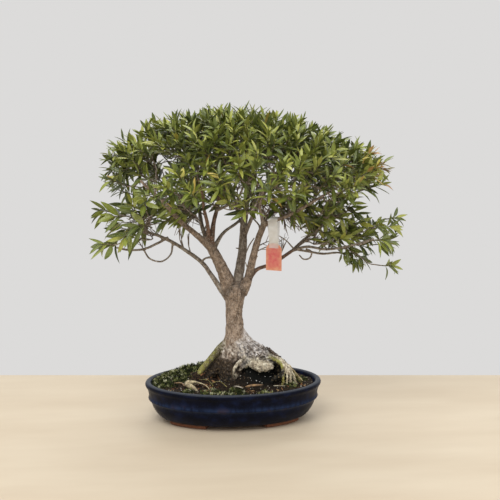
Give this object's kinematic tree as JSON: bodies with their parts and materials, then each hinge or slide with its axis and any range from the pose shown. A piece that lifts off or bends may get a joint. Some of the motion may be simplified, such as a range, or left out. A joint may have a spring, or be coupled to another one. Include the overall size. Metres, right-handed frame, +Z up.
{
  "type": "willow leaf ficus bonsai",
  "caption": "Miniature ficus tree with narrow willow-like leaves, standing on its root hood in the soil of a shallow oval glazed pot with feet, with a plain hanging tag.",
  "frame": {"origin": "middle of the whole plant in plan, at the height of the surface that the pot's feet stand on", "axes": "+Z up, +X to the right along the pot's length as seen from its front, +Y away from the front"},
  "size_m": [0.4459, 0.3324, 0.4512],
  "materials": {
    "pot_glaze": "dark blue glaze, glossy, with unglazed clay feet",
    "screen_plastic": "moulded plastic net",
    "soil": "gritty potting soil with moss and litter, matte",
    "bark": "smooth ficus bark, matte",
    "leaf": "leathery leaf with a waxy sheen",
    "tag_clear": "translucent plastic film",
    "tag_pink": "bare pink plastic plate"
  },
  "bodies": {
    "root": {"pot": "pot_glaze", "drain_screen_left": "screen_plastic", "drain_screen_right": "screen_plastic", "soil": "soil", "tree": "bark", "spray_01": "leaf", "spray_02": "leaf", "spray_03": "leaf", "spray_04": "leaf", "spray_05": "leaf", "spray_06": "leaf", "spray_07": "leaf", "spray_08": "leaf", "spray_09": "leaf", "spray_10": "leaf", "spray_11": "leaf", "spray_12": "leaf", "spray_13": "leaf", "spray_14": "leaf", "spray_15": "leaf", "spray_16": "leaf", "spray_17": "leaf", "spray_18": "leaf", "spray_19": "leaf", "spray_20": "leaf", "spray_21": "leaf", "spray_22": "leaf", "spray_23": "leaf", "spray_24": "leaf", "spray_25": "leaf", "spray_26": "leaf", "spray_27": "leaf", "spray_28": "leaf", "spray_29": "leaf", "spray_30": "leaf", "spray_31": "leaf", "spray_32": "leaf", "spray_33": "leaf", "spray_34": "leaf", "spray_35": "leaf", "spray_36": "leaf", "spray_37": "leaf", "spray_38": "leaf", "spray_39": "leaf", "spray_40": "leaf", "spray_41": "leaf", "spray_42": "leaf", "spray_43": "leaf", "spray_44": "leaf", "spray_45": "leaf", "spray_46": "leaf", "spray_47": "leaf", "spray_48": "leaf", "spray_49": "leaf", "spray_50": "leaf", "spray_51": "leaf", "spray_52": "leaf", "spray_53": "leaf", "tag_strap": "tag_clear", "tag_label": "tag_pink"}
  },
  "joints": []
}
